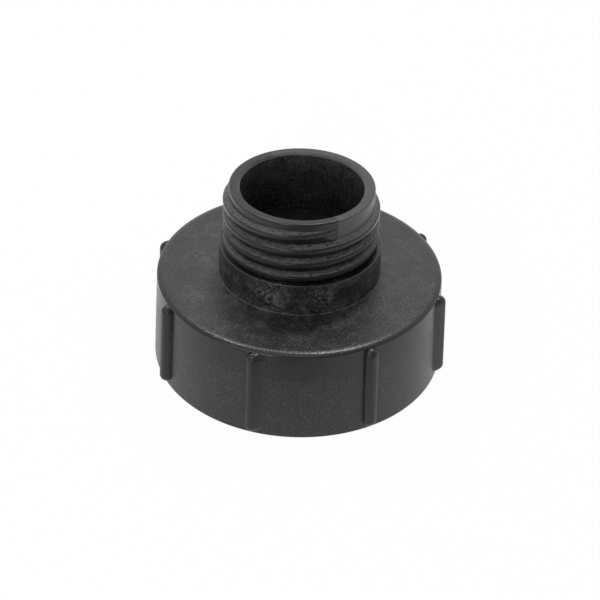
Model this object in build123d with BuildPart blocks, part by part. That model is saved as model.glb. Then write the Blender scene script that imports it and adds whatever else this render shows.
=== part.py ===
from build123d import *
import os
from math import cos, radians, sin, tan

os.makedirs("parts", exist_ok=True)

# IBC outlet adapter: a wide screw socket that goes over the tank valve, and a
# narrower threaded neck on top of it for a tap, cap or hose tail.
# Frame: origin at the centre of the open bottom face, +Z up the axis.
# The front mould parting line lies at -Y. All sizes are in millimetres.

# socket: coarse female thread, 100 mm nominal, 8 mm pitch, right-hand
socket_root_radius = 50.6        # wall between the turns of the thread
socket_wall = 5.25               # wall outside it, at the top of the body
socket_thread_depth = 2.9
socket_pitch = 8.0
socket_lead_in = 4.0             # plain length below the first turn
socket_land_width = 2.4          # flat crest of the thread
body_height = 37.8
body_draft = 3.25                # the outer wall widens downwards, degrees
plate_thickness = 4.5
edge_round = 2.0                 # outer edge of the top plate
mouth_chamfer = 1.2              # inner edge of the open end
foot_round = 0.6                 # outer edge of the open end

# neck: male saw-tooth thread, 60 mm nominal, 6 mm pitch, right-hand
neck_crest_radius = 30.0
neck_thread_depth = 2.25
neck_pitch = 6.0
neck_land_width = 1.9
neck_turns = 3.5
neck_length = 24.6               # collar top to rim
neck_wall = 4.25
neck_start_drop = 3.4            # rim to the crest where the thread begins
rim_chamfer_width = 1.3
rim_chamfer_drop = 0.9
rim_round = 0.7

# plain collar between plate and neck
collar_height = 13.1
collar_step = 1.5                # collar stands this far outside the crests
collar_draft = 0.9
collar_wall = 4.2
throat_slope = 3.6               # height of the cone from collar to neck bore
collar_edge = 0.3

# grip ribs on the outer wall
rib_width = 5.6
rib_height = 2.8                 # out of the wall
rib_bottom = 1.6
rib_top_gap = 1.0                # rib end to the plate's upper face
rib_slant_width = 1.6            # flat part beyond the centre of a slanted rib
rib_edge_round = 2.0
rib_sink = 1.5                   # foot of a rib inside the wall

# saw-tooth flanks, degrees from the plane across the axis
steep_flank = 3.0
slant_flank = 30.0
thread_root_sink = 0.4           # foot of a thread inside its wall
run_out_step = 0.3               # height at the very end of the neck thread
run_out_angle = 65.0             # it falls to that over this angle

# flat ring seal under the plate
gasket_thickness = 3.0
gasket_clearance = 0.4           # to the socket wall
gasket_width = 11.5
gasket_room = 1.0                # last turn of the socket's thread to the gasket

# sizes that follow
neck_root_radius = neck_crest_radius - neck_thread_depth
bore_radius = neck_root_radius - neck_wall
collar_radius = neck_crest_radius + collar_step
throat_radius = collar_radius - collar_wall
collar_top = body_height + collar_height
rim_height = collar_top + neck_length
ceiling = body_height - plate_thickness
wall_top_radius = socket_root_radius + socket_wall
wall_foot_radius = wall_top_radius + body_height * tan(radians(body_draft))
throat_top = collar_top - throat_slope
rib_top = body_height - rib_top_gap
rib_middle = (rib_bottom + rib_top) / 2
rib_length = (rib_top - rib_bottom) / cos(radians(body_draft))
collar_foot_radius = collar_radius + collar_height * tan(radians(collar_draft))


def radial(azimuth, radius, height):
    """Point at an azimuth counted from -Y towards +X."""
    a = radians(azimuth)
    return Vector(radius * sin(a), -radius * cos(a), height)


def wall_plane(azimuth):
    """Plane on the drafted outer wall at the middle of a rib: x along the wall, y up it."""
    a = radians(azimuth)
    d = radians(body_draft)
    radius = wall_top_radius + (body_height - rib_middle) * tan(d)
    outward = (sin(a) * cos(d), -cos(a) * cos(d), sin(d))
    return Plane(origin=radial(azimuth, radius, rib_middle), x_dir=(cos(a), sin(a), 0), z_dir=outward)


# --- turned body: socket, plate, collar and neck in one wall
with BuildPart() as shell:
    with BuildSketch(Plane.XZ):
        with BuildLine():
            Polyline(
                (socket_root_radius + mouth_chamfer, 0),
                (wall_foot_radius, 0),
                (wall_top_radius, body_height),
                (collar_foot_radius, body_height),
                (collar_radius, collar_top),
                (neck_root_radius, collar_top),
                (neck_root_radius, rim_height),
                (bore_radius + rim_chamfer_width, rim_height),
                (bore_radius, rim_height - rim_chamfer_drop),
                (bore_radius, collar_top),
                (throat_radius, throat_top),
                (throat_radius, ceiling),
                (socket_root_radius, ceiling),
                (socket_root_radius, mouth_chamfer),
                close=True,
            )
        make_face()
    revolve(axis=Axis.Z)
    rings = shell.edges().filter_by(GeomType.CIRCLE)
    plate_edge = rings.sort_by(lambda e: abs(e.center().Z - body_height) + abs(e.radius - wall_top_radius))[0]
    fillet(plate_edge, radius=edge_round)
    rings = shell.edges().filter_by(GeomType.CIRCLE)
    foot_edge = rings.sort_by(lambda e: abs(e.center().Z) + abs(e.radius - wall_foot_radius))[0]
    fillet(foot_edge, radius=foot_round)
    rings = shell.edges().filter_by(GeomType.CIRCLE)
    rim_edge = rings.sort_by(lambda e: abs(e.center().Z - rim_height) + abs(e.radius - neck_root_radius))[0]
    fillet(rim_edge, radius=rim_round)
    rings = shell.edges().filter_by(GeomType.CIRCLE)
    collar_rim = rings.sort_by(lambda e: abs(e.center().Z - collar_top) + abs(e.radius - collar_radius))[0]
    chamfer(collar_rim, length=collar_edge)

# --- male thread of the neck, the steep flank below; wound up from +X here,
# and turned at the end so that it begins on the front parting line
neck_foot = neck_thread_depth + thread_root_sink
neck_slant = neck_foot * tan(radians(slant_flank))
neck_steep = neck_foot * tan(radians(steep_flank))
neck_rise = neck_turns * neck_pitch
crest_end = rim_height - neck_start_drop
crest_start = crest_end - neck_rise
start_azimuth = 90
end_azimuth = start_azimuth + 360 * neck_turns


def run_out(azimuth, turn):
    """Outline outside a thread end that rises from almost nothing to full height."""
    low = neck_root_radius + run_out_step
    full = neck_crest_radius + 0.05
    far = neck_crest_radius + 1
    half = azimuth + turn / 2
    inner = ThreePointArc(
        radial(azimuth, low, 0), radial(half, (low + full) / 2, 0), radial(azimuth + turn, full, 0)
    )
    outer = ThreePointArc(radial(azimuth, far, 0), radial(half, far, 0), radial(azimuth + turn, far, 0))
    Line(inner @ 0, outer @ 0)
    Line(inner @ 1, outer @ 1)


with BuildPart() as neck_thread:
    with BuildLine() as neck_path:
        Helix(pitch=neck_pitch, height=neck_rise, radius=neck_root_radius, center=(0, 0, crest_start))
    with BuildSketch(Plane(origin=neck_path.line @ 0, x_dir=(1, 0, 0), z_dir=(0, -1, 0))):
        with BuildLine():
            Polyline(
                (-thread_root_sink, neck_slant),
                (neck_thread_depth, 0),
                (neck_thread_depth, -neck_land_width),
                (-thread_root_sink, -neck_land_width - neck_steep),
                close=True,
            )
        make_face()
    sweep(path=neck_path.line, is_frenet=True)
    # the upper end starts low and grows; the lower end runs out the same way
    with BuildSketch(Plane.XY.offset(crest_end - neck_pitch + neck_slant + 0.2)):
        with BuildLine():
            run_out(end_azimuth, -run_out_angle)
        make_face()
    extrude(amount=neck_pitch, mode=Mode.SUBTRACT)
    with BuildSketch(Plane.XY.offset(crest_start - neck_land_width - neck_steep - 0.2)):
        with BuildLine():
            run_out(start_azimuth, run_out_angle)
        make_face()
    extrude(amount=neck_pitch - 0.2, mode=Mode.SUBTRACT)

# --- female thread of the socket, the steep flank above
socket_foot = socket_thread_depth + thread_root_sink
socket_slant = socket_foot * tan(radians(slant_flank))
socket_steep = socket_foot * tan(radians(steep_flank))
socket_first = socket_lead_in + socket_slant
socket_last = ceiling - gasket_thickness - gasket_room - socket_land_width - socket_steep
with BuildPart() as socket_thread:
    with BuildLine() as socket_path:
        Helix(
            pitch=socket_pitch,
            height=socket_last - socket_first,
            radius=socket_root_radius,
            center=(0, 0, socket_first),
        )
    with BuildSketch(Plane(origin=socket_path.line @ 0, x_dir=(1, 0, 0), z_dir=(0, -1, 0))):
        with BuildLine():
            Polyline(
                (thread_root_sink, -socket_slant),
                (-socket_thread_depth, 0),
                (-socket_thread_depth, socket_land_width),
                (thread_root_sink, socket_land_width + socket_steep),
                close=True,
            )
        make_face()
    sweep(path=socket_path.line, is_frenet=True)

# --- grip ribs: those that face the parting line or the pull are symmetric
straight_plane = wall_plane(0)
with BuildPart() as straight_rib:
    with BuildSketch(straight_plane):
        SlotOverall(rib_length, rib_width, rotation=90)
    extrude(amount=rib_height)
    outer_face = straight_rib.faces().sort_by(Axis(straight_plane.origin, straight_plane.z_dir))[-1]
    fillet(outer_face.edges(), radius=rib_edge_round)
    with BuildSketch(straight_plane):
        SlotOverall(rib_length, rib_width, rotation=90)
    extrude(amount=-rib_sink)

# between them each rib has one flank slanted along the pull of its mould half
slant_plane = wall_plane(-45)
slant_right = rib_slant_width + rib_height
slant_span = rib_width / 2 + slant_right
with BuildPart() as slanted_rib:
    with BuildSketch(slant_plane):
        with Locations(((slant_right - rib_width / 2) / 2, 0)):
            SlotOverall(rib_length, slant_span, rotation=90)
    extrude(amount=rib_height)
    slant_origin = slant_plane.origin + slant_plane.x_dir * slant_right
    split(bisect_by=Plane(origin=slant_origin, z_dir=slant_plane.x_dir + slant_plane.z_dir), keep=Keep.BOTTOM)
    outer_face = slanted_rib.faces().sort_by(Axis(slant_plane.origin, slant_plane.z_dir))[-1]
    fillet(outer_face.edges(), radius=rib_edge_round)
    with BuildSketch(slant_plane):
        with Locations(((slant_right - rib_width / 2) / 2, 0)):
            SlotOverall(rib_length, slant_span, rotation=90)
    extrude(amount=-rib_sink)
    mirror(about=Plane.YZ)
    mirror(about=Plane.XZ)

# --- the moulded adapter in one piece
with BuildPart() as adapter_body:
    add(shell.part)
    with PolarLocations(0, 4):
        add(straight_rib.part)
    add(slanted_rib.part)
    add(neck_thread.part, rotation=(0, 0, -end_azimuth))
    add(socket_thread.part)
adapter_body.part.label = "adapter_body"
export_step(adapter_body.part, "parts/adapter_body.step")

# --- flat ring seal against the underside of the plate, behind the last turn
gasket_radius = socket_root_radius - gasket_clearance
with BuildPart() as flat_gasket:
    with BuildSketch(Plane.XY.offset(ceiling - gasket_thickness)):
        Circle(gasket_radius)
        Circle(gasket_radius - gasket_width, mode=Mode.SUBTRACT)
    extrude(amount=gasket_thickness)
flat_gasket.part.label = "flat_gasket"
export_step(flat_gasket.part, "parts/flat_gasket.step")
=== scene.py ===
# %% [markdown]
# This lesson models a screw adapter for the outlet of a liquid tank. A wide socket with a
# coarse inner thread goes over the tank's valve, and a narrower neck with an outer thread
# takes a tap, a cap or a hose tail. The real part is one black moulding of polypropylene
# with a loose rubber ring inside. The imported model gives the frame, so each piece is made
# at its final place and in metres, and nothing is fitted by eye.

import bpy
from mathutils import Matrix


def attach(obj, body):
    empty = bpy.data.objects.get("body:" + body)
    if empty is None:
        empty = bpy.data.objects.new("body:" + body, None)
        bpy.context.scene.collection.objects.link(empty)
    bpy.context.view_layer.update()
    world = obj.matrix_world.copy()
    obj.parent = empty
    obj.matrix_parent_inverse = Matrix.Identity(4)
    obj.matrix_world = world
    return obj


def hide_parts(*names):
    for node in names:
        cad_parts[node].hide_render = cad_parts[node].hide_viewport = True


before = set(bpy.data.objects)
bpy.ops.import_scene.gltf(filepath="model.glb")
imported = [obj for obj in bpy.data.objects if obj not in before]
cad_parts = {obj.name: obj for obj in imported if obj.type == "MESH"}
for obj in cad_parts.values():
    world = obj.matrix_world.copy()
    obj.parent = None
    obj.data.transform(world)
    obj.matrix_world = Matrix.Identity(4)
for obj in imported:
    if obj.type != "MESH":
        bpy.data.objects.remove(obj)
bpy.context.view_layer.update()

# %% [markdown]
# The sizes are written in millimetres, because that is how a moulder reads them, and one
# small function turns them into metres where they are used. Angles round the axis count
# from the front mould parting line at -Y towards +X.

# %% Millimetres to metres
from math import cos, hypot, pi, radians, sin, tan

import bmesh
import bpy
from mathutils import Matrix, Vector


def mm(*values):
    """Millimetres to metres: one number, or a point."""
    metres = tuple(value / 1000 for value in values)
    return metres[0] if len(metres) == 1 else metres


print("a 60 mm thread is", mm(60), "m across")

# %% [markdown]
# The camera comes first, because every later piece is seen through it. The product was
# photographed from about 36 degrees above the table with a long lens, and the whole picture
# leans by two degrees. The parting line of the mould is 29 degrees to the right of the
# direction that the camera looks in.

# %% Place the camera
camera_data = bpy.data.cameras.new("camera")
camera = bpy.data.objects.new("camera", camera_data)
bpy.context.scene.collection.objects.link(camera)
bpy.context.scene.camera = camera
camera_data.sensor_width = 36
camera_data.sensor_fit = "HORIZONTAL"
camera_data.lens = 78.84
camera_data.clip_start = 0.01

elevation, lean, turn = radians(36.45), radians(1.86), radians(-29.0)
stand = mm(0.557, -423.5, 334.3)  # to the right, ahead and up, before the turn
right = Vector((1, 0, 0))
up = Vector((0, sin(elevation), cos(elevation)))
back = Vector((0, -cos(elevation), sin(elevation)))
leaning = Matrix((right * cos(lean) + up * sin(lean), up * cos(lean) - right * sin(lean), back))
standing = Matrix.Translation(stand) @ leaning.transposed().to_4x4()
camera.matrix_world = Matrix.Rotation(turn, 4, "Z") @ standing
print("camera at", tuple(round(v, 3) for v in camera.matrix_world.translation))

# %% [markdown]
# Socket, plate, collar and neck share one axis, so their common wall is a lathe shape. A
# cylinder could be extruded step by step, but a section that is drawn once and spun gives
# every radius and height straight from the list of sizes. The line starts as a small plane
# that is merged into one vertex, and that vertex is extruded from point to point.

# %% Draw a line by extruding one vertex
def begin_piece(name):
    """Add a small plane and merge it into one vertex at the origin."""
    bpy.ops.object.select_all(action="DESELECT")
    bpy.ops.mesh.primitive_plane_add(size=mm(1), location=(0, 0, 0))
    piece = bpy.context.object
    piece.name = piece.data.name = name
    bpy.ops.object.mode_set(mode="EDIT")
    bpy.ops.mesh.select_mode(type="VERT")
    bpy.ops.mesh.merge(type="CENTER")
    return piece


def draw_outline(points):
    """Walk the one vertex round these points in millimetres and close the loop."""
    bpy.ops.transform.translate(value=mm(*points[0]))
    for start, end in zip(points, points[1:] + points[:1]):
        step = mm(*(Vector(end) - Vector(start)))
        bpy.ops.mesh.extrude_vertices_move(TRANSFORM_OT_translate={"value": step})
    bpy.ops.mesh.select_all(action="SELECT")
    bpy.ops.mesh.remove_doubles(threshold=mm(0.002))


# %% The wall's section, radius and height in millimetres
ceiling, plate_top, collar_top, rim = 33.3, 37.8, 50.9, 75.5  # heights
bore, throat, neck_root, collar, socket_root = 23.5, 27.3, 27.75, 31.5, 50.6  # radii
wall_top, draft = 55.85, radians(3.25)
wall_foot = wall_top + plate_top * tan(draft)
collar_foot = 31.706
mouth, mouth_depth = 51.8, 1.2  # inner chamfer of the open mouth
rim_inner, rim_low = 24.8, 74.6  # inner chamfer of the rim
throat_top = 47.3  # the throat narrows to the bore above this height

edge_width, edge_height, edge_level = 3.2, 1.2, 36.6  # the plate's edge is a flat oval
edge_centre = wall_top - 3.14
plate_edge = []
for step in range(17):
    angle = radians(4 + 86 * step / 16)
    plate_edge.append((
        edge_centre + edge_width * cos(angle), edge_level + edge_height * sin(angle)
    ))

section = [
    (mouth, 0.0),
    (wall_foot, 0.0),  # foot of the outer wall
    *plate_edge,  # the wall leans in by its draft up to the plate's edge
    (collar_foot, plate_top),
    (collar, collar_top),
    (neck_root, collar_top),
    (neck_root, rim),
    (rim_inner, rim),
    (bore, rim_low),
    (bore, collar_top),
    (throat, throat_top),
    (throat, ceiling),  # underside of the plate
    (socket_root, ceiling),
    (socket_root, mouth_depth),
]
body = begin_piece("moulded_body")
draw_outline([(radius, 0, height) for radius, height in section])
bpy.ops.mesh.spin(steps=256, angle=2 * pi, center=(0, 0, 0), axis=(0, 0, 1))
bpy.ops.mesh.select_all(action="SELECT")
bpy.ops.mesh.remove_doubles(threshold=mm(0.002))
bpy.ops.mesh.normals_make_consistent(inside=False)
print("spun wall with", len(bmesh.from_edit_mesh(body.data).faces), "faces")

# %% [markdown]
# No edge of a moulding is sharp, and its highlights sit exactly on these small roundings:
# the thin line on the rim and the bright line at the foot of the collar. The broad one round
# the plate is already drawn in the section. Each edge is a ring, so it is found by its radius
# and height and bevelled with the radius that the real part shows.

# %% Round the ring edges
def select_rings(piece, rings):
    """Select the ring edges that lie at these radius and height pairs."""
    bpy.ops.mesh.select_mode(type="EDGE")
    bpy.ops.mesh.select_all(action="DESELECT")
    shape = bmesh.from_edit_mesh(piece.data)
    for edge in shape.edges:
        ends = [(hypot(v.co.x, v.co.y) * 1000, v.co.z * 1000) for v in edge.verts]
        for radius, height in rings:
            if all(abs(r - radius) < 0.04 and abs(z - height) < 0.04 for r, z in ends):
                edge.select_set(True)
    bmesh.update_edit_mesh(piece.data)
    return sum(edge.select for edge in shape.edges)


def round_rings(piece, size, segments, *rings):
    """Bevel these rings to a rounding of this size in millimetres."""
    found = select_rings(piece, rings)
    bpy.ops.mesh.bevel(offset=mm(size), segments=segments, affect="EDGES", clamp_overlap=False)
    print("rounded", found, "edges to", size, "mm")


round_rings(body, 0.6, 4, (wall_foot, 0.0))
round_rings(body, 0.7, 5, (neck_root, rim))
round_rings(body, 0.4, 4, (collar_foot, plate_top), (collar, collar_top), (socket_root, ceiling))
round_rings(
    body, 0.3, 3,
    (neck_root, collar_top), (throat, ceiling), (throat, throat_top), (bore, collar_top),
)
round_rings(
    body, 0.2, 2, (rim_inner, rim), (bore, rim_low), (mouth, 0.0), (socket_root, mouth_depth)
)

# %% [markdown]
# Every piece ends in the same way. Its faces are turned outwards, it is shaded smooth except
# across real edges, and weighted normals keep the big flat faces flat next to the narrow
# roundings, as they are on the moulding.

# %% Finish a piece
def finish_piece(piece, angle=35):
    """Turn the faces out, shade smooth up to this angle, and let flat faces stay flat."""
    bpy.ops.mesh.select_all(action="SELECT")
    bpy.ops.mesh.normals_make_consistent(inside=False)
    bpy.ops.object.mode_set(mode="OBJECT")
    bpy.ops.object.shade_smooth_by_angle(angle=radians(angle))
    flat = piece.modifiers.new("flat_faces_stay_flat", "WEIGHTED_NORMAL")
    flat.keep_sharp = True
    bpy.ops.object.modifier_apply(modifier=flat.name)
    shape = bmesh.new()
    shape.from_mesh(piece.data)
    open_edges = sum(not edge.is_manifold for edge in shape.edges)
    print(piece.name, len(shape.faces), "faces,", open_edges, "open edges,",
          round(shape.calc_volume(signed=True) * 1e9), "cubic mm")
    shape.free()


finish_piece(body)

# %% [markdown]
# The neck's thread is a saw-tooth ridge: its upper flank slopes at 30 degrees so that a cap
# starts easily, and its lower flank is almost square because it carries the load. The Screw
# modifier carries the section of the ridge down the neck, three and a half turns clockwise
# from the front parting line. The foot of the ridge is sunk a little into the neck.

# %% Wind the neck thread
pitch, turns, steps = 6.0, 3.5, 448
crest, sunk = 30.0, 0.4  # radius of the crest, and the depth of the foot inside the wall
thread_top, thread_land = 72.1, 1.9  # upper crest edge where it starts, and width of the land
full_depth = crest - neck_root
foot_up = (full_depth + sunk) * tan(radians(30))
foot_down = (full_depth + sunk) * tan(radians(3))

neck_thread = begin_piece("neck_thread")
draw_outline([
    (0, -(neck_root - sunk), thread_top + foot_up),
    (0, -crest, thread_top),
    (0, -crest, thread_top - thread_land),
    (0, -(neck_root - sunk), thread_top - thread_land - foot_down),
])
bpy.ops.object.mode_set(mode="OBJECT")
screw = neck_thread.modifiers.new("winding", "SCREW")
screw.axis = "Z"
screw.angle = -2 * pi * turns
screw.screw_offset = mm(-pitch * turns)
screw.steps = screw.render_steps = steps
bpy.ops.object.modifier_apply(modifier=screw.name)
corners = [tuple(round(c * 1000, 1) for c in corner) for corner in neck_thread.bound_box]
print("thread box", corners[::6])

# %% [markdown]
# A moulded thread does not start at full height. Over the first 65 degrees the ridge rises
# out of the wall from almost nothing, and it sinks again in the same way at its end in the
# collar. The picture shows the edge of its crest at one level there, so each section of
# these stretches is moved straight towards the axis.

# %% Let the thread ends run out
def wound_rings(piece, count):
    """The vertices of each wound section, in order along the thread."""
    shape = bmesh.from_edit_mesh(piece.data)
    shape.verts.ensure_lookup_table()
    return [range(i, i + count) for i in range(0, len(shape.verts), count)]


def sink_section(piece, ring, inwards):
    """Move one wound section straight towards the axis, by this many millimetres."""
    shape = bmesh.from_edit_mesh(piece.data)
    shape.verts.ensure_lookup_table()
    for vertex in shape.verts:
        vertex.select_set(vertex.index in ring)
    radial = Vector((shape.verts[ring[1]].co.x, shape.verts[ring[1]].co.y, 0)).normalized()
    shape.select_flush_mode()
    bmesh.update_edit_mesh(piece.data)
    bpy.ops.transform.translate(value=-radial * mm(inwards))


def run_out(piece, rings, full_height, step_height):
    """Sink these sections, from step_height left at the first to full height at the last."""
    for number, ring in enumerate(rings):
        left = step_height + (full_height - step_height) * sin(pi / 2 * number / len(rings))
        sink_section(piece, ring, full_height - left)


bpy.ops.object.mode_set(mode="EDIT")
bpy.ops.mesh.select_mode(type="VERT")
bpy.ops.mesh.select_all(action="DESELECT")
rings = wound_rings(neck_thread, 4)
taper = round(steps / turns * 65 / 360)
run_out(neck_thread, rings[:taper], full_depth, 0.3)
run_out(neck_thread, rings[::-1][:taper], full_depth, 0.3)
print("run-outs over", taper, "of", len(rings), "sections at each end")

# %% [markdown]
# The ends are closed, and both edges of the crest are rounded: the upper one to a radius of
# almost a millimetre, which draws the thin light line along every turn, and the lower one
# to half of that, so that each land grows darker towards the gap below it.

# %% Close the ridge and round its crest
def select_sharp(piece, choose, least, most):
    """Select edges that turn by between these angles and whose two ends satisfy the rule."""
    bpy.ops.mesh.select_mode(type="EDGE")
    bpy.ops.mesh.select_all(action="DESELECT")
    shape = bmesh.from_edit_mesh(piece.data)
    for edge in shape.edges:
        turned = radians(least) < edge.calc_face_angle(0) < radians(most)
        edge.select_set(turned and all(choose(v.co * 1000) for v in edge.verts))
    bmesh.update_edit_mesh(piece.data)
    return sum(edge.select for edge in shape.edges)


def above_root(point):
    """True for a point that stands out of the neck's wall."""
    return hypot(point.x, point.y) > neck_root + 0.05


bpy.ops.mesh.select_all(action="SELECT")
bpy.ops.mesh.normals_make_consistent(inside=False)
bpy.ops.mesh.fill_holes(sides=0)
found = select_sharp(neck_thread, above_root, 75, 120)
bpy.ops.mesh.bevel(offset=mm(0.4), segments=4, affect="EDGES", clamp_overlap=False)
found += select_sharp(neck_thread, above_root, 50, 70)
bpy.ops.mesh.bevel(offset=mm(0.5), segments=5, affect="EDGES", clamp_overlap=False)
print("rounded", found, "crest edges")
finish_piece(neck_thread, 50)

# %% [markdown]
# The socket's thread is wound in the same way from a wider section with a pitch of 8 mm. It
# stands inwards from the wall, has its square flank above, and stops below the rubber ring.

# %% Wind the socket thread
socket_depth, socket_pitch, socket_land = 2.9, 8.0, 2.4
seal_low = 30.3  # underside of the rubber ring
slant_foot = (socket_depth + sunk) * tan(radians(30))
square_foot = (socket_depth + sunk) * tan(radians(3))
first = 4.0 + slant_foot
last = seal_low - 1.0 - socket_land - square_foot
socket_turns = (last - first) / socket_pitch
socket_steps = round(128 * socket_turns)

socket_thread = begin_piece("socket_thread")
draw_outline([
    (socket_root + sunk, 0, first - slant_foot),
    (socket_root - socket_depth, 0, first),
    (socket_root - socket_depth, 0, first + socket_land),
    (socket_root + sunk, 0, first + socket_land + square_foot),
])
bpy.ops.object.mode_set(mode="OBJECT")
screw = socket_thread.modifiers.new("winding", "SCREW")
screw.axis = "Z"
screw.angle = 2 * pi * socket_turns
screw.screw_offset = mm(last - first)
screw.steps = screw.render_steps = socket_steps
bpy.ops.object.modifier_apply(modifier=screw.name)

bpy.ops.object.mode_set(mode="EDIT")
bpy.ops.mesh.select_mode(type="VERT")
bpy.ops.mesh.select_all(action="DESELECT")
rings = wound_rings(socket_thread, 4)
taper = 20  # sections
run_out(socket_thread, rings[:taper], -socket_depth, -sunk)
run_out(socket_thread, rings[::-1][:taper], -socket_depth, -sunk)
bpy.ops.mesh.select_all(action="SELECT")
bpy.ops.mesh.normals_make_consistent(inside=False)
bpy.ops.mesh.fill_holes(sides=0)
select_sharp(socket_thread, lambda p: hypot(p.x, p.y) < socket_root - 0.05, 40, 120)
bpy.ops.mesh.bevel(offset=mm(0.3), segments=3, affect="EDGES", clamp_overlap=False)
finish_piece(socket_thread, 50)

# %% [markdown]
# Eight grip ribs stand on the outer wall. Each is a pad with round ends that follows the
# lean of the wall. Its edge is rounded until its ends look like balls, and at its foot is a
# small hollow rounding, which shows in the picture as a dark outline. It starts as a filled
# circle that is pulled apart into a slot. Then its face is inset and raised in steps along
# the section of the edge.

# %% Walk the section of a rib
rib_half, rib_height, rib_edge, rib_hollow = 2.8, 2.8, 2.6, 0.15
rib_foot, rib_skin = -1.2, -0.1  # levels inside the wall: its underside, and the hollow's start
rib_low, rib_high = 1.6, 36.8
rib_length = (rib_high - rib_low) / cos(draft)


def arc(centre, size, start, end, count):
    """Points of an arc: offset from the flank, and height."""
    angles = [radians(start + (end - start) * i / count) for i in range(count + 1)]
    return [(centre[0] + size * cos(a), centre[1] + size * sin(a)) for a in angles]


rib_section = [(rib_hollow, rib_foot)]
rib_section += arc((rib_hollow, rib_hollow + rib_skin), rib_hollow, -90, -180, 3)
rib_section += arc((-rib_edge, rib_height - rib_edge), rib_edge, 0, 90, 10)
print("rib section", [(round(a, 2), round(b, 2)) for a, b in rib_section])


# %% Raise a slot-shaped rib
def raise_rib(name):
    """A rib lying at the origin: x across it, y along it, z out of the wall."""
    bpy.ops.object.select_all(action="DESELECT")
    bpy.ops.mesh.primitive_circle_add(
        vertices=50, radius=mm(rib_half + rib_hollow), fill_type="NGON"
    )
    rib = bpy.context.object
    rib.name = rib.data.name = name
    bpy.ops.object.mode_set(mode="EDIT")
    bpy.ops.transform.translate(value=mm(0, 0, rib_section[0][1]))
    bpy.ops.mesh.select_mode(type="VERT")
    for side in (1, -1):
        bpy.ops.mesh.select_all(action="DESELECT")
        shape = bmesh.from_edit_mesh(rib.data)
        for vertex in shape.verts:
            vertex.select_set(vertex.co.y * side > 0)
        bmesh.update_edit_mesh(rib.data)
        bpy.ops.transform.translate(value=(0, side * mm(rib_length / 2 - rib_half), 0))
    bpy.ops.mesh.select_mode(type="FACE")
    bpy.ops.mesh.select_all(action="SELECT")
    for (out, low), (inner, high) in zip(rib_section, rib_section[1:]):
        if out - inner < 0.001:
            bpy.ops.mesh.extrude_region_move(
                TRANSFORM_OT_translate={"value": mm(0, 0, high - low)}
            )
        else:
            bpy.ops.mesh.inset(thickness=mm(out - inner), depth=mm(high - low))
    bpy.ops.mesh.select_mode(type="EDGE")
    bpy.ops.mesh.select_non_manifold(extend=False)
    bpy.ops.mesh.edge_face_add()
    return rib


def select_level(piece, height, low_x):
    """Select the vertices at this height whose x is above low_x, both in millimetres."""
    bpy.ops.mesh.select_mode(type="VERT")
    bpy.ops.mesh.select_all(action="DESELECT")
    shape = bmesh.from_edit_mesh(piece.data)
    for vertex in shape.verts:
        level = abs(vertex.co.z * 1000 - height) < 0.004
        vertex.select_set(level and vertex.co.x * 1000 > low_x)
    bmesh.update_edit_mesh(piece.data)


straight_rib = raise_rib("rib_front")
finish_piece(straight_rib)

# %% [markdown]
# Four ribs stand at 45 degrees to the parting line. The mould halves pull away along X, so
# the flank of such a rib that faces the parting line has to lean back, or the rib would be
# locked in the mould. Level by level, that half of the rib is stretched, more at its foot
# than at its top, until the flank slopes at 45 degrees.

# %% Lean one flank back
slanted_rib = raise_rib("rib_front_left")
slant_width = 1.6
for height in sorted({round(high, 4) for _, high in rib_section}):
    select_level(slanted_rib, height, 0)
    stretch = (slant_width + rib_height - max(height, rib_skin)) / rib_half
    bpy.ops.transform.resize(value=(stretch, 1, 1), center_override=(0, 0, 0))
finish_piece(slanted_rib)

# %% [markdown]
# Each rib is now stood up against the wall at its own angle. The copies get meshes of their
# own, and the mirrored ones have their faces turned outwards again.

# %% Copy the ribs round the wall
rib_middle = (rib_low + rib_high) / 2
wall_radius = wall_top + (plate_top - rib_middle) * tan(draft)


def copy_rib(rib, name, mirrored=False):
    """A copy with its own mesh, and mirrored across its length if asked."""
    bpy.ops.object.select_all(action="DESELECT")
    rib.select_set(True)
    bpy.context.view_layer.objects.active = rib
    bpy.ops.object.duplicate(linked=False)
    twin = bpy.context.object
    twin.name = twin.data.name = name
    if mirrored:
        bpy.ops.object.mode_set(mode="EDIT")
        bpy.ops.mesh.select_all(action="SELECT")
        bpy.ops.transform.resize(value=(-1, 1, 1), center_override=(0, 0, 0))
        finish_piece(twin)
    return twin


def stand_rib(rib, azimuth):
    """Stand a rib against the wall at this angle from the front parting line."""
    rib.matrix_world = (
        Matrix.Rotation(radians(azimuth), 4, "Z")
        @ Matrix.Translation(mm(0, -wall_radius, rib_middle))
        @ Matrix.Rotation(pi / 2 - draft, 4, "X")
    )
    bpy.ops.object.select_all(action="DESELECT")
    rib.select_set(True)
    bpy.context.view_layer.objects.active = rib
    bpy.ops.object.transform_apply(location=True, rotation=True, scale=True)


placed = [
    (copy_rib(straight_rib, "rib_right"), 90),
    (copy_rib(straight_rib, "rib_back"), 180),
    (copy_rib(straight_rib, "rib_left"), -90),
    (straight_rib, 0),
    (copy_rib(slanted_rib, "rib_front_right", mirrored=True), 45),
    (copy_rib(slanted_rib, "rib_back_left", mirrored=True), -135),
    (copy_rib(slanted_rib, "rib_back_right"), 135),
    (slanted_rib, -45),
]
for rib, azimuth in placed:
    stand_rib(rib, azimuth)
ribs = [rib for rib, _ in placed]
print(len(ribs), "ribs at", [azimuth for _, azimuth in placed], "degrees")

# %% [markdown]
# Where the two mould halves meet, the melt creeps a few hundredths of a millimetre into the
# joint and leaves a fine raised line: up the wall, over the plate, up the collar and the
# neck and across every turn of the thread. It is drawn as a thin blade just proud of the
# surface, front and back.

# %% Draw the parting line
flash_width, flash_height = 0.16, 0.035


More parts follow.
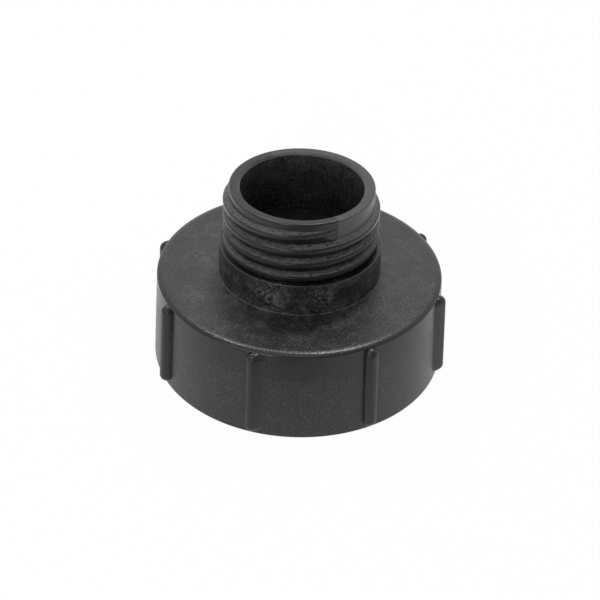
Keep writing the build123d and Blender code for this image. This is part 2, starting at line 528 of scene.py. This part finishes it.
def outer_line(turn_tops):
    """Radius and height along the outside, with the thread's turns whose crests start there."""
    line = [(wall_foot - 0.6, 0.4), (wall_foot - 0.06, 1.0), (wall_top + 0.08, 36.3)]
    line += plate_edge[1::5] + [(31.95, plate_top)]
    line += [(31.72, 38.2), (31.52, 50.5), (31.1, collar_top), (neck_root, collar_top)]
    for top in sorted(turn_tops):
        low = top - thread_land
        line += [(neck_root, low - 0.12), (29.75, low), (crest, top - 1.65)]
        line += [(crest, top - 0.2), (29.8, top + 0.1), (neck_root, top + 1.3)]
    line += [(neck_root, 74.8)] + arc((27.05, 74.8), 0.7, 0, 90, 4) + [(24.9, rim)]
    return line


def parting_line(name, side, turn_tops):
    """A blade in the parting plane that stands just proud of the surface."""
    line = outer_line(turn_tops)
    proud, sunk_in = [], []
    for before, here, after in zip(line[:1] + line, line, line[1:] + line[-1:]):
        along = Vector((after[0] - before[0], after[1] - before[1])).normalized()
        out = Vector((along.y, -along.x))
        proud.append((0, side * (here[0] + out.x * flash_height), here[1] + out.y * flash_height))
        sunk_in.append((0, side * (here[0] - out.x * 0.3), here[1] - out.y * 0.3))
    blade = begin_piece(name)
    draw_outline(proud + sunk_in[::-1])
    bpy.ops.transform.translate(value=mm(-flash_width / 2, 0, 0))
    bpy.ops.mesh.edge_face_add()
    bpy.ops.mesh.extrude_region_move(TRANSFORM_OT_translate={"value": mm(flash_width, 0, 0)})
    finish_piece(blade)
    return blade


parting_lines = [
    parting_line("parting_line_front", -1, [66.1, 60.1, 54.1]),
    parting_line("parting_line_back", 1, [69.1, 63.1, 57.1]),
]

# %% [markdown]
# Inside, against the underside of the plate, lies the loose rubber ring that seals against
# the tank's valve. It is turned like the body, from a small section with rounded corners.

# %% Turn the rubber ring
ring_seal = begin_piece("ring_seal")
seal_inner, seal_outer = 38.7, 50.2
draw_outline([
    (seal_inner, 0, seal_low), (seal_outer, 0, seal_low),
    (seal_outer, 0, ceiling), (seal_inner, 0, ceiling),
])
bpy.ops.mesh.spin(steps=192, angle=2 * pi, center=(0, 0, 0), axis=(0, 0, 1))
bpy.ops.mesh.select_all(action="SELECT")
bpy.ops.mesh.remove_doubles(threshold=mm(0.002))
round_rings(ring_seal, 0.35, 4, (seal_inner, seal_low), (seal_outer, seal_low))
finish_piece(ring_seal)

# %% [markdown]
# Colours are given as sRGB hex values, as in any drawing program, but the renderer works
# with linear light, so one function converts them. Another small function adds a node
# with its settings and links, and every material below is made with it.

# %% Helpers for materials
def linear(hex_colour):
    """An sRGB hex colour as linear red, green, blue and alpha."""
    parts = [int(hex_colour[i : i + 2], 16) / 255 for i in (1, 3, 5)]
    return [c / 12.92 if c <= 0.04045 else ((c + 0.055) / 1.055) ** 2.4 for c in parts] + [1.0]


def add_node(tree, kind, inputs=None, **settings):
    """Add a node. Each input gets a value, or a link from a socket or a node's first output."""
    made = tree.nodes.new(kind)
    for name, value in settings.items():
        setattr(made, name, value)
    for name, value in (inputs or {}).items():
        if isinstance(value, bpy.types.Node):
            value = value.outputs[0]
        if isinstance(value, bpy.types.NodeSocket):
            tree.links.new(value, made.inputs[name])
        else:
            made.inputs[name].default_value = value
    return made


def new_material(name):
    """An empty node material and its tree."""
    material = bpy.data.materials.new(name)
    material.use_nodes = True
    material.node_tree.nodes.clear()
    return material, material.node_tree


print("black polypropylene is", [round(c, 4) for c in linear("#070708")])

# %% [markdown]
# The body is injection-moulded polypropylene, coloured with carbon black: a waxy plastic,
# nearly black, and grey wherever it mirrors the bright room. Its mould was not finished
# alike all over. The socket and the plate were eroded by sparks, which leaves a fine grain,
# the collar and the bore were turned, and the lands of the thread were polished. All these
# zones are heights on the part, so one colour ramp over the height carries three numbers
# for each: how strong the grain is, how rough the surface, and how many flow marks it has.

# %% Divide the moulding into zones of finish
black_pp, tree = new_material("moulded_black_polypropylene")
place = add_node(tree, "ShaderNodeTexCoord")
spot = place.outputs["Object"]
split = add_node(tree, "ShaderNodeSeparateXYZ", {"Vector": spot})
ramp_top = 80  # the colour ramp runs from the floor to this height in mm
level = add_node(
    tree, "ShaderNodeMapRange", {"Value": split.outputs["Z"], "From Max": mm(ramp_top)}
)
zones = add_node(tree, "ShaderNodeValToRGB", {"Fac": level})
finishes = [  # height in mm, then grain, roughness and flow marks
    (0, 0.5, 0.34, 0.2),
    (25.5, 0.5, 0.34, 0.2),
    (27.5, 0.18, 0.3, 0.1),
    (35.4, 0.18, 0.3, 0.1),  # the top of the wall was polished a little
    (36.3, 0.06, 0.2, 0.1),
    (37.6, 0.08, 0.22, 0.2),  # round edge of the plate
    (37.75, 0.3, 0.24, 0.3),
    (37.79, 0.75, 0.32, 1.0),
    (38.4, 0.75, 0.32, 1.0),  # plate
    (38.8, 0.55, 0.27, 1.0),  # collar
    (50.7, 0.5, 0.27, 0.6),
    (51.1, 0.1, 0.27, 0.05),  # neck
    (75.2, 0.1, 0.22, 0.05),
    (75.45, 0.3, 0.28, 0.1),  # rim
]
stops = zones.color_ramp.elements
for height, grain, rough, flow in finishes[1:-1]:
    stops.new(height / ramp_top).color = (grain, rough, flow, 1.0)
stops[0].color = (*finishes[0][1:], 1.0)
stops[len(stops) - 1].position = finishes[-1][0] / ramp_top
stops[len(stops) - 1].color = (*finishes[-1][1:], 1.0)
zone = add_node(tree, "ShaderNodeSeparateColor", {"Color": zones})
print("stops of finish at", [round(stop.position * ramp_top, 1) for stop in stops], "mm")

# %% [markdown]
# Some places differ from their zone, and masks between 0 and 1 find them. The upper flanks
# of the neck's thread were only milled and kept their tool marks, and they are painted
# lighter, as faces that tilt up towards the light. They are the faces above the collar that
# lean by about 30 degrees.

# %% Find the upper flanks of the thread
tilt = add_node(tree, "ShaderNodeSeparateXYZ", {"Vector": place.outputs["Normal"]})
leaning = add_node(
    tree, "ShaderNodeMapRange", {"Value": tilt.outputs["Z"], "From Min": 0.8, "From Max": 0.86}
)
lying = add_node(
    tree, "ShaderNodeMapRange",
    {"Value": tilt.outputs["Z"], "From Min": 0.88, "From Max": 0.95, "To Min": 1.0, "To Max": 0.0},
)
on_neck = add_node(
    tree, "ShaderNodeMapRange",
    {"Value": split.outputs["Z"], "From Min": mm(51.2), "From Max": mm(51.6)},
)
slope = add_node(tree, "ShaderNodeMath", {0: leaning, 1: lying}, operation="MULTIPLY")
flank = add_node(tree, "ShaderNodeMath", {0: slope, 1: on_neck}, operation="MULTIPLY")
print("the flanks have a normal with z near", round(cos(radians(30)), 3))

# %% [markdown]
# The right mould half was left grainy on the plain band between the rim and the first turn,
# so the band changes its tone at the parting line. Its lower border is the first turn. That
# falls by one pitch round the neck, so it is found from the angle round the axis.

# %% Find the band between the rim and the first turn
flat_spot = add_node(tree, "ShaderNodeVectorMath", {0: spot, 1: (1, 1, 0)}, operation="MULTIPLY")
radius = add_node(tree, "ShaderNodeVectorMath", {0: flat_spot}, operation="LENGTH")
around = add_node(
    tree, "ShaderNodeMath", {0: split.outputs["X"], 1: split.outputs["Y"]}, operation="ARCTAN2"
)
turn_limit = add_node(
    tree, "ShaderNodeMath", {0: around, 1: mm(-pitch) / (2 * pi), 2: mm(69.0)},
    operation="MULTIPLY_ADD",
)
start_limit = add_node(  # the first turn starts low, and rises to its full height
    tree, "ShaderNodeMapRange",
    {"Value": around, "From Min": -pi, "From Max": -2.8, "To Min": mm(66.8), "To Max": mm(72)},
)
limit = add_node(tree, "ShaderNodeMath", {0: turn_limit, 1: start_limit}, operation="MINIMUM")
lower_by = add_node(
    tree, "ShaderNodeMath", {0: limit, 1: split.outputs["Z"]}, operation="SUBTRACT"
)
below_first = add_node(
    tree, "ShaderNodeMapRange", {"Value": lower_by, "From Min": mm(-0.3), "From Max": mm(0.9)}
)
above_first = add_node(tree, "ShaderNodeMath", {0: 1.0, 1: below_first}, operation="SUBTRACT")
print("border of the first turn falls by", pitch, "mm from 72 mm")

# %% Find its right half
right_half = add_node(
    tree, "ShaderNodeMapRange",
    {"Value": split.outputs["X"], "From Min": mm(-0.1), "From Max": mm(0.1)},
)
on_wall = add_node(  # on the wall and not on the thread
    tree, "ShaderNodeMapRange",
    {
        "Value": radius.outputs["Value"],
        "From Min": mm(28.2), "From Max": mm(28.4), "To Min": 0.45, "To Max": 0.0,
    },
)
half_band = add_node(tree, "ShaderNodeMath", {0: right_half, 1: on_wall}, operation="MULTIPLY")
band = add_node(tree, "ShaderNodeMath", {0: half_band, 1: above_first}, operation="MULTIPLY")
outdoors = add_node(  # outside the bore
    tree, "ShaderNodeMapRange",
    {"Value": radius.outputs["Value"], "From Min": mm(23.6), "From Max": mm(24.0)},
)
outer_neck = add_node(tree, "ShaderNodeMath", {0: on_neck, 1: outdoors}, operation="MULTIPLY")
plain_band = add_node(tree, "ShaderNodeMath", {0: band, 1: outer_neck}, operation="MULTIPLY")
print("the masks so far take", len(tree.nodes), "nodes")

# %% [markdown]
# The bore is grainier than the neck's outside. The ribs stand proud of the leaning wall, and
# have less grain than the wall but a softer sheen.

# %% Add up how grainy each place is
in_bore = add_node(tree, "ShaderNodeMath", {0: 1.0, 1: outdoors}, operation="SUBTRACT")
leant_radius = add_node(
    tree, "ShaderNodeMath",
    {0: split.outputs["Z"], 1: tan(draft), 2: radius.outputs["Value"]}, operation="MULTIPLY_ADD",
)
off_ribs = add_node(
    tree, "ShaderNodeMapRange",
    {
        "Value": leant_radius,
        "From Min": mm(58.2), "From Max": mm(58.8), "To Min": 1.0, "To Max": 0.3,
    },
)
rougher = add_node(tree, "ShaderNodeMath", {0: flank, 1: plain_band}, operation="MAXIMUM")
rough_parts = add_node(
    tree, "ShaderNodeMath", {0: zone.outputs["Red"], 1: rougher}, operation="MAXIMUM"
)
rough_places = add_node(tree, "ShaderNodeMath", {0: rough_parts, 1: off_ribs}, operation="MULTIPLY")
grainy = add_node(
    tree, "ShaderNodeMath", {0: in_bore, 1: 0.5, 2: rough_places}, operation="MULTIPLY_ADD"
)
print("at its foot the wall has a radius of", round(wall_foot, 2), "mm")

# %% [markdown]
# The grain of a spark-eroded mould is about a tenth of a millimetre wide. That is far below
# one pixel, so it is drawn as coarse as a pixel and a half here. Its highest tips are painted
# lighter, and light specks, coarser again, lie over it: painted glints where the grain
# catches the light. The specks also raise the relief. The milled flanks have streaks
# instead, four times as long round the axis as they are high.

# %% Draw grain, specks and streaks
grain_size, speck_size, streak_size = 0.6, 1.1, 0.5  # millimetres
grain_noise = add_node(
    tree, "ShaderNodeTexNoise",
    {"Vector": spot, "Scale": 1000 / grain_size, "Detail": 1.5, "Roughness": 0.6},
)
# Painted glints: the highest tips of the grain are painted lighter.
painted_glint_tips = add_node(
    tree, "ShaderNodeMapRange",
    {"Value": grain_noise, "From Min": 0.47, "From Max": 0.68, "To Max": 1.6},
)
speck_noise = add_node(
    tree, "ShaderNodeTexNoise", {"Vector": spot, "Scale": 1000 / speck_size, "Detail": 1.0}
)
# Painted glints: light specks over the grain, which also raise the relief.
specks_and_painted_glints = add_node(
    tree, "ShaderNodeMapRange",
    {"Value": speck_noise, "From Min": 0.62, "From Max": 0.76, "To Max": 0.8},
)
round_mm = add_node(  # a quarter of the way round, so that the streaks come out long
    tree, "ShaderNodeMath", {0: around, 1: mm(crest) / 4}, operation="MULTIPLY"
)
wound = add_node(
    tree, "ShaderNodeCombineXYZ",
    {"X": round_mm, "Y": radius.outputs["Value"], "Z": split.outputs["Z"]},
)
streak_noise = add_node(
    tree, "ShaderNodeTexNoise",
    {"Vector": wound, "Scale": 1000 / streak_size, "Detail": 2.0, "Roughness": 0.7},
)
streaks = add_node(
    tree, "ShaderNodeMapRange",
    {"Value": streak_noise, "From Min": 0.36, "From Max": 0.66, "To Min": 0.1, "To Max": 2.2},
)
print("grain", grain_size, "mm, specks", speck_size, "mm, streaks", streak_size, "mm high")

# %% [markdown]
# Flow marks are wider, some millimetres, and gather round the collar, where the melt met a
# thick wall. Four patches on the collar and the plate curl, where the melt from the gate met
# melt that had already cooled.

# %% Draw the flow marks
flow_size, curl_size = 6.0, 4.5  # millimetres
mottle = add_node(
    tree, "ShaderNodeTexNoise",
    {
        "Vector": spot, "Scale": 1000 / flow_size,
        "Detail": 6.0, "Roughness": 0.65, "Distortion": 0.4,
    },
)
near_collar = add_node(
    tree, "ShaderNodeMapRange",
    {
        "Value": radius.outputs["Value"],
        "From Min": mm(32), "From Max": mm(52), "To Min": 1.0, "To Max": 0.45,
    },
)
flow_share = add_node(
    tree, "ShaderNodeMath", {0: zone.outputs["Blue"], 1: near_collar}, operation="MULTIPLY"
)
flow = add_node(tree, "ShaderNodeMath", {0: mottle, 1: flow_share}, operation="MULTIPLY")
print("flow marks", flow_size, "mm apart")


# %% Curl four patches
def near_point(azimuth, radius_mm, height, reach):
    """1 near this point of the surface and 0 from the reach on, both in millimetres."""
    a = radians(azimuth)
    centre = mm(radius_mm * sin(a), -radius_mm * cos(a), height)
    offset = add_node(tree, "ShaderNodeVectorMath", {0: spot, 1: centre}, operation="DISTANCE")
    return add_node(
        tree, "ShaderNodeMapRange",
        {"Value": offset.outputs["Value"], "From Max": mm(reach), "To Min": 1.0, "To Max": 0.0},
    )


curls = add_node(
    tree, "ShaderNodeTexNoise",
    {"Vector": spot, "Scale": 1000 / curl_size, "Detail": 4.0, "Roughness": 0.7, "Distortion": 2.5},
)
curl_lines = add_node(
    tree, "ShaderNodeMapRange", {"Value": curls, "From Min": 0.48, "From Max": 0.62, "To Max": 3.2}
)
on_collar = add_node(
    tree, "ShaderNodeMath", {0: near_point(-50, 31.6, 45, 10), 1: near_point(-14, 31.6, 45, 6)},
    operation="ADD",
)
on_plate = add_node(
    tree, "ShaderNodeMath",
    {0: near_point(-131, 38, plate_top, 11), 1: near_point(-91, 44, plate_top, 10)},
    operation="ADD",
)
four_spots = add_node(
    tree, "ShaderNodeMath", {0: on_plate, 1: 0.3, 2: on_collar}, operation="MULTIPLY_ADD"
)
pale_patches = add_node(
    tree, "ShaderNodeMath", {0: four_spots, 1: curl_lines}, operation="MULTIPLY"
)
print("curls", curl_size, "mm apart")

# %% [markdown]
# All of this ends in one tone, one roughness, one share of mirroring and one relief. The
# tone is carbon black and lighter in the flow marks, at the painted glints of the grain and
# on the flanks, which carry painted light. In the bore it is pale and mottled, painted
# lighter towards the mouth, where light falls in, and darker with the depth.

# %% Mix the tone
pale = add_node(
    tree, "ShaderNodeMapRange",
    {"Value": mottle, "From Min": 0.48, "From Max": 0.62, "To Max": 0.75},
)
flow_tone = add_node(tree, "ShaderNodeMath", {0: pale, 1: flow_share}, operation="MULTIPLY")
flowed = add_node(tree, "ShaderNodeMath", {0: flow_tone, 1: pale_patches}, operation="ADD")
covered = add_node(
    tree, "ShaderNodeMath", {0: plain_band, 1: 1.6, 2: flowed}, operation="MULTIPLY_ADD"
)
# Painted glints: tips and specks lighten the tone where the surface is grainy.
painted_glints = add_node(tree, "ShaderNodeMath", {0: specks_and_painted_glints, 1: painted_glint_tips}, operation="ADD")
painted_glint_tone = add_node(tree, "ShaderNodeMath", {0: painted_glints, 1: grainy}, operation="MULTIPLY")
# Painted light: the upward-leaning flanks are lightened, along with their milled streaks.
milled_streaks_painted_light = add_node(tree, "ShaderNodeMath", {0: streaks, 1: flank}, operation="MULTIPLY")
marks_with_painted_light = add_node(tree, "ShaderNodeMath", {0: painted_glint_tone, 1: milled_streaks_painted_light}, operation="ADD")
# Painted light: the bore is lighter towards its mouth and darker deeper down.
depth = add_node(
    tree, "ShaderNodeMapRange",
    {"Value": split.outputs["Z"], "From Min": mm(53), "From Max": mm(77), "To Max": 1.0},
)
bore_painted_light = add_node(tree, "ShaderNodeMath", {0: in_bore, 1: depth}, operation="MULTIPLY")
bore_mottle = add_node(
    tree, "ShaderNodeMapRange",
    {"Value": mottle, "From Min": 0.35, "From Max": 0.65, "To Min": 0.4, "To Max": 1.4},
)
flow_band_and_painted_bore_light = add_node(
    tree, "ShaderNodeMath", {0: bore_painted_light, 1: bore_mottle, 2: covered}, operation="MULTIPLY_ADD"
)
lightness = add_node(tree, "ShaderNodeMath", {0: flow_band_and_painted_bore_light, 1: marks_with_painted_light}, operation="ADD")
shade = add_node(tree, "ShaderNodeMath", {0: lightness, 1: 0.4}, operation="MULTIPLY")
tone = add_node(tree, "ShaderNodeValToRGB", {"Fac": shade})
darkest, lightest = "#070708", "#5a5a5b"
for stop, position, colour in zip(tone.color_ramp.elements, (0.0, 1.0), (darkest, lightest)):
    stop.position, stop.color = position, linear(colour)
print("tone from", darkest, "to", lightest)

# %% [markdown]
# The flanks, the plain band, the ribs and the flow marks are a little rougher than their
# zone. The gaps between the turns and the lands of the lower turns are painted with shade,
# so that they mirror less.

# %% Set the gloss and paint shade into the gaps
added = add_node(
    tree, "ShaderNodeMath", {0: rougher, 1: 0.25, 2: zone.outputs["Green"]},
    operation="MULTIPLY_ADD",
)
wiped = add_node(tree, "ShaderNodeMath", {0: off_ribs, 1: -0.1, 2: 0.1}, operation="MULTIPLY_ADD")
softened = add_node(tree, "ShaderNodeMath", {0: added, 1: wiped}, operation="ADD")
uneven = add_node(
    tree, "ShaderNodeMapRange", {"Value": flow, "From Min": 0.1, "From Max": 0.7, "To Max": 0.15}
)
gloss = add_node(tree, "ShaderNodeMath", {0: softened, 1: uneven}, operation="ADD")

# Painted shade: the gaps between the turns, and the lands of the lower turns, mirror less.
gap_depth = add_node(
    tree, "ShaderNodeMapRange",
    {
        "Value": radius.outputs["Value"],
        "From Min": mm(27.9), "From Max": mm(28.9), "To Min": 0.75, "To Max": 0.0,
    },
)
in_gap = add_node(tree, "ShaderNodeMath", {0: gap_depth, 1: below_first}, operation="MULTIPLY")
lower_turns = add_node(
    tree, "ShaderNodeMapRange",
    {
        "Value": split.outputs["Z"],
        "From Min": mm(54), "From Max": mm(70), "To Min": 0.5, "To Max": 0.0,
    },
)
upright = add_node(tree, "ShaderNodeMath", {0: 1.0, 1: leaning}, operation="SUBTRACT")
on_land = add_node(tree, "ShaderNodeMath", {0: lower_turns, 1: upright}, operation="MULTIPLY")
painted_shade = add_node(tree, "ShaderNodeMath", {0: in_gap, 1: on_land}, operation="MAXIMUM")
neck_painted_shade = add_node(tree, "ShaderNodeMath", {0: painted_shade, 1: outer_neck}, operation="MULTIPLY")
mirroring = add_node(tree, "ShaderNodeMath", {0: neck_painted_shade, 1: -0.5, 2: 0.5}, operation="MULTIPLY_ADD")
print("gloss and residue bring it to", len(tree.nodes), "nodes")

# %% Raise the relief and shade the black polypropylene
peaks = add_node(
    tree, "ShaderNodeMath", {0: specks_and_painted_glints, 1: 0.5, 2: grain_noise}, operation="MULTIPLY_ADD"
)
relief = add_node(tree, "ShaderNodeMath", {0: peaks, 1: grainy}, operation="MULTIPLY")
grain_bump = add_node(
    tree, "ShaderNodeBump", {"Height": relief, "Strength": 1.0, "Distance": mm(0.14)}
)
flow_bump = add_node(
    tree, "ShaderNodeBump",
    {"Height": flow, "Strength": 1.0, "Distance": mm(0.15), "Normal": grain_bump},
)
shader = add_node(
    tree, "ShaderNodeBsdfPrincipled",
    {
        "Base Color": tone,
        "Roughness": gloss,
        "IOR": 1.49,
        "Specular IOR Level": mirroring,
        "Normal": flow_bump,
    },
)
add_node(tree, "ShaderNodeOutputMaterial", {"Surface": shader})
print(black_pp.name, "has", len(tree.nodes), "nodes")

# %% [markdown]
# The ring is moulded nitrile rubber: blacker and duller than the plastic, with a very fine
# even grain and a little whitish bloom where the vulcanised surface has aged.

# %% Mould the rubber
rubber, tree = new_material("moulded_nitrile_rubber")
spot = add_node(tree, "ShaderNodeTexCoord").outputs["Object"]
fine = add_node(tree, "ShaderNodeTexNoise", {"Vector": spot, "Scale": 1000 / 0.3, "Detail": 4.0})
bloom = add_node(tree, "ShaderNodeTexNoise", {"Vector": spot, "Scale": 1000 / 9, "Detail": 3.0})
tone = add_node(tree, "ShaderNodeValToRGB", {"Fac": bloom})
for stop, position, colour in zip(tone.color_ramp.elements, (0.4, 0.75), ("#1d1d1d", "#2a2928")):
    stop.position, stop.color = position, linear(colour)
bump = add_node(tree, "ShaderNodeBump", {"Height": fine, "Strength": 0.4, "Distance": mm(0.05)})
shader = add_node(
    tree, "ShaderNodeBsdfPrincipled",
    {"Base Color": tone, "Roughness": 0.72, "IOR": 1.52, "Normal": bump},
)
add_node(tree, "ShaderNodeOutputMaterial", {"Surface": shader})
print(rubber.name, "has", len(tree.nodes), "nodes")

# %% [markdown]
# All moulded pieces stand for the one CAD solid of the body, and the ring for the seal. They
# ride on the object's only body, because nothing on it moves.

# %% Give the pieces their material and their place in the frame
moulded = [body, neck_thread, socket_thread] + ribs + parting_lines
for piece in moulded:
    piece.data.materials.append(black_pp)
    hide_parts("adapter_body")
    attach(piece, "root")
ring_seal.data.materials.append(rubber)
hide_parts("flat_gasket")
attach(ring_seal, "root")
print(len(moulded) + 1, "pieces ride on the root body")

# %% [markdown]
# The floor is white paper. The camera sees it at a strength of 1, and a small share of it
# stays a real matt surface for a faint shadow. The glossy plastic sees it as bright, but
# dimmer towards the camera: there the paper lies in the dark half of the studio, and the
# polished lands of the thread show that. Under the socket it is matt only, or it would glow
# up into the dark bore.

# %% Lay the floor
bpy.ops.object.select_all(action="DESELECT")
bpy.ops.mesh.primitive_circle_add(vertices=96, radius=2.5, fill_type="NGON", location=(0, 0, 0))
floor = bpy.context.object
floor.name = floor.data.name = "floor"
print("floor", round(floor.dimensions.x, 2), "m across")

# %% Find what the plastic sees of it
white, tree = new_material("white_paper_floor")
path = add_node(tree, "ShaderNodeLightPath")
spot = add_node(tree, "ShaderNodeTexCoord").outputs["Object"]
to_camera, sideways = (-0.485, -0.875, 0), (0.875, -0.485, 0)  # directions on the floor
forward = add_node(
    tree, "ShaderNodeVectorMath", {0: spot, 1: to_camera}, operation="DOT_PRODUCT"
)
aside = add_node(
    tree, "ShaderNodeVectorMath", {0: spot, 1: sideways}, operation="DOT_PRODUCT"
)
across = add_node(tree, "ShaderNodeMath", {0: aside.outputs["Value"]}, operation="ABSOLUTE")
ahead = add_node(
    tree, "ShaderNodeMath", {0: across, 1: -0.5, 2: forward.outputs["Value"]},
    operation="MULTIPLY_ADD",
)
slow_fall, quick_fall = 0.55, 0.7  # what each of two falls towards the camera leaves
dim = add_node(
    tree, "ShaderNodeMapRange",
    {"Value": ahead, "From Min": mm(62), "From Max": mm(130), "To Min": 1.0, "To Max": slow_fall},
)
far_dim = add_node(
    tree, "ShaderNodeMapRange",
    {"Value": ahead, "From Min": mm(102), "From Max": mm(118), "To Min": 1.0, "To Max": quick_fall},
)
gloss_level = add_node(tree, "ShaderNodeMath", {0: dim, 1: far_dim}, operation="MULTIPLY")
print("the plastic sees the floor in front at", round(slow_fall * quick_fall, 2))

# %% Mix paper and glow
eye_sees = add_node(
    tree, "ShaderNodeMath",
    {0: path.outputs["Is Camera Ray"], 1: path.outputs["Is Transmission Ray"]},
    operation="MAXIMUM",
)
seen = add_node(
    tree, "ShaderNodeMath", {0: eye_sees, 1: path.outputs["Is Glossy Ray"]}, operation="MAXIMUM"
)
brightness = add_node(tree, "ShaderNodeMath", {0: eye_sees, 1: gloss_level}, operation="MAXIMUM")
away = add_node(tree, "ShaderNodeVectorMath", {0: spot}, operation="LENGTH")
outside = add_node(
    tree, "ShaderNodeMapRange",
    {"Value": away.outputs["Value"], "From Min": mm(56), "From Max": mm(58), "To Max": 0.97},
)
share = add_node(tree, "ShaderNodeMath", {0: seen, 1: outside}, operation="MULTIPLY")
paper = add_node(tree, "ShaderNodeBsdfDiffuse", {"Color": linear("#f4f4f4")})
glow = add_node(tree, "ShaderNodeEmission", {"Color": linear("#ffffff"), "Strength": brightness})
mixed = add_node(tree, "ShaderNodeMixShader", {"Fac": share, 1: paper, 2: glow})
add_node(tree, "ShaderNodeOutputMaterial", {"Surface": mixed})
floor.data.materials.append(white)
print(white.name, "has", len(tree.nodes), "nodes")

# %% [markdown]
# Behind the object the studio is white, and above and behind the camera it is darker. The
# camera sees white all round, and the plastic sees the room as it is.

# %% Light the world
world = bpy.data.worlds.new("white_room")
bpy.context.scene.world = world
world.use_nodes = True
tree = world.node_tree
tree.nodes.clear()
path = add_node(tree, "ShaderNodeLightPath")
toward = add_node(tree, "ShaderNodeTexCoord").outputs["Generated"]
behind_camera = (-0.40, -0.72, 0.57)
front_up = add_node(
    tree, "ShaderNodeVectorMath", {0: toward, 1: behind_camera}, operation="DOT_PRODUCT"
)
room = add_node(
    tree, "ShaderNodeMapRange",
    {"Value": front_up.outputs["Value"], "From Max": 0.8, "To Min": 1.0, "To Max": 0.5},
)
gloss_sees = add_node(
    tree, "ShaderNodeMath", {0: path.outputs["Is Glossy Ray"], 1: room}, operation="MULTIPLY"
)
eye_sees = add_node(
    tree, "ShaderNodeMath",
    {0: path.outputs["Is Camera Ray"], 1: path.outputs["Is Transmission Ray"]},
    operation="MAXIMUM",
)
seen = add_node(tree, "ShaderNodeMath", {0: eye_sees, 1: gloss_sees}, operation="MAXIMUM")
strength = add_node(tree, "ShaderNodeMath", {0: seen, 1: 0.5}, operation="MAXIMUM")
sky = add_node(tree, "ShaderNodeBackground", {"Color": linear("#ffffff"), "Strength": strength})
add_node(tree, "ShaderNodeOutputWorld", {"Surface": sky})
print("world", world.name)

# %% [markdown]
# Two narrow softboxes hang high behind the object, left and right. The rounded edge of the
# plate mirrors them as a bright line with a dip in its middle, and the grain picks up their
# light. A wide one on the left draws the light lines on the thread's crests. A small one low
# on the left sits in the round tops of the ribs, and a dim one right above lights the upper
# flanks of the thread.

# %% Hang the softboxes
def softbox(name, toward, distance, width, height, radiance):
    """An area lamp in this direction from the object, turned to face it."""
    lamp_data = bpy.data.lights.new(name, "AREA")
    lamp_data.shape = "RECTANGLE"
    lamp_data.size, lamp_data.size_y = width, height
    lamp_data.energy = radiance * pi * width * height
    lamp = bpy.data.objects.new(name, lamp_data)
    bpy.context.scene.collection.objects.link(lamp)
    direction = Vector(toward).normalized()
    lamp.location = direction * distance + Vector(mm(0, 0, 40))
    lamp.rotation_euler = direction.to_track_quat("Z", "Y").to_euler()
    print(name, "radiance", radiance, "power", round(lamp_data.energy, 2), "W")


# name, direction from the object, distance, width and height in metres, radiance
softbox("softbox_right", (0.31, 0.25, 0.917), 1.2, 0.15, 0.15, 46.0)
softbox("softbox_left", (-0.03, 0.47, 0.88), 1.2, 0.13, 0.13, 34.0)
softbox("softbox_side", (-0.72, -0.18, 0.66), 1.3, 0.6, 0.6, 2.2)
softbox("softbox_low", (-0.75, -0.64, 0.16), 1.2, 0.13, 0.13, 34.0)
softbox("softbox_above", (-0.15, -0.2, 1.0), 1.5, 0.7, 0.7, 0.9)

# %% Use the standard view transform
bpy.context.scene.view_settings.view_transform = "Standard"
